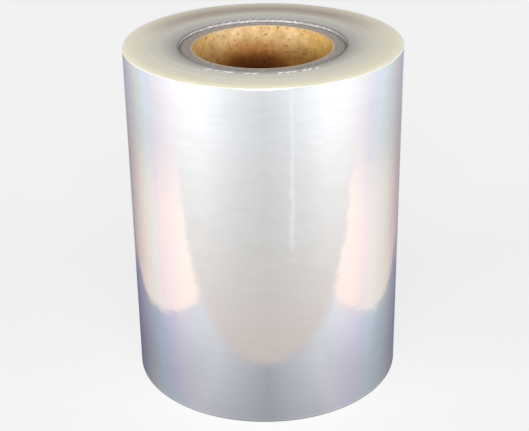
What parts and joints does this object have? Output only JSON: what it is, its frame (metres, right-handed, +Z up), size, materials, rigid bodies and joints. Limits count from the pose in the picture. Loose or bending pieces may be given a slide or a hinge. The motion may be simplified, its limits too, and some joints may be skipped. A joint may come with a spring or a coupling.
{
  "type": "sealing film roll",
  "caption": "Upright roll of clear glossy sealing film wound on a hollow paperboard core that a machine's shaft or chuck passes into.",
  "frame": {"origin": "on the axis of the core, at the plane of the lower end of the film, which the roll stands on", "axes": "+Z up along the axis of the core; -Y faces the viewer of the picture"},
  "size_m": [0.1517, 0.1519, 0.194],
  "materials": {
    "clear_film": "gloss",
    "greyboard": "matte",
    "kraft_liner": "matte"
  },
  "bodies": {
    "root": {"wound_film": "clear_film", "core_board": "greyboard", "core_liner": "kraft_liner"}
  },
  "joints": []
}
